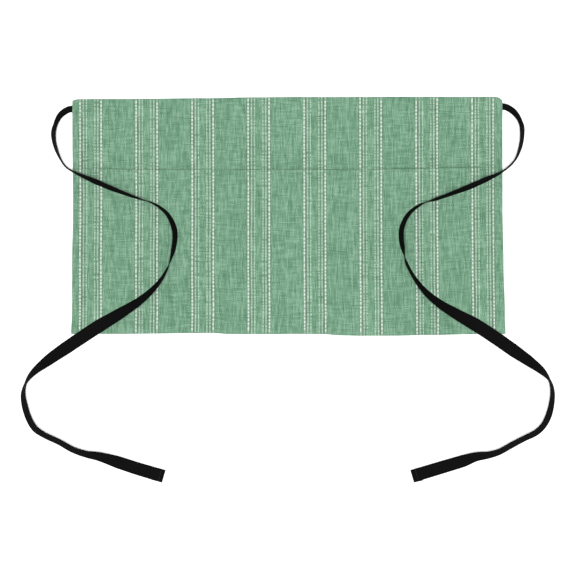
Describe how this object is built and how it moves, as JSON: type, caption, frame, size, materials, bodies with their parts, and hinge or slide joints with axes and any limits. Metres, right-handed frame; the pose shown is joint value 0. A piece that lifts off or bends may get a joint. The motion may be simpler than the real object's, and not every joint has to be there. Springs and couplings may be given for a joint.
{
  "type": "waist apron",
  "caption": "Short striped cloth waist apron with open patch pockets side by side and a flat tape tie sewn into each end of its top hem, lying flat.",
  "frame": {"origin": "on the surface that the apron lies on, below the middle of its cloth", "axes": "+X to the right seen from the front, +Y towards the waist edge, +Z out of the front"},
  "size_m": [0.6911, 0.4992, 0.0258],
  "materials": {
    "striped_cloth": "coarse plain weave, sage green with white vertical stripes",
    "black_tape": "matt woven tape"
  },
  "bodies": {
    "root": {"apron_panel": "striped_cloth", "pocket_panel": "striped_cloth", "left_tie": "black_tape", "right_tie": "black_tape"}
  },
  "joints": []
}
